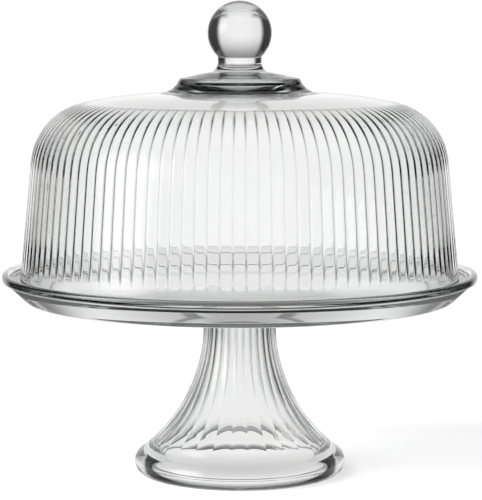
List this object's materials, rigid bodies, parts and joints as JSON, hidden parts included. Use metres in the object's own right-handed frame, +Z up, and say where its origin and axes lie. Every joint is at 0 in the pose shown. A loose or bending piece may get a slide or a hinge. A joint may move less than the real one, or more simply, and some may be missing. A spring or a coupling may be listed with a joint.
{
  "type": "cake stand with dome",
  "caption": "Clear glass cake stand: a round plate with a raised rim on a hollow fluted pedestal, covered by a ribbed lift-off dome with a ball knob.",
  "frame": {"origin": "centre of the foot on the table", "axes": "+Z up along the object's axis; a rib crest of the dome faces -Y, the front"},
  "size_m": [0.33, 0.33, 0.329],
  "materials": {
    "clear_glass": "clear colourless pressed glass, fire-polished smooth"
  },
  "bodies": {
    "stand": {"plate": "clear_glass", "pedestal": "clear_glass"},
    "dome": {"dome_shell": "clear_glass", "knob": "clear_glass"}
  },
  "joints": [
    {"name": "dome_lift", "type": "slide", "parent": "stand", "child": "dome", "axis": [0, 0, 1], "range_m": [0, 0.3]}
  ]
}
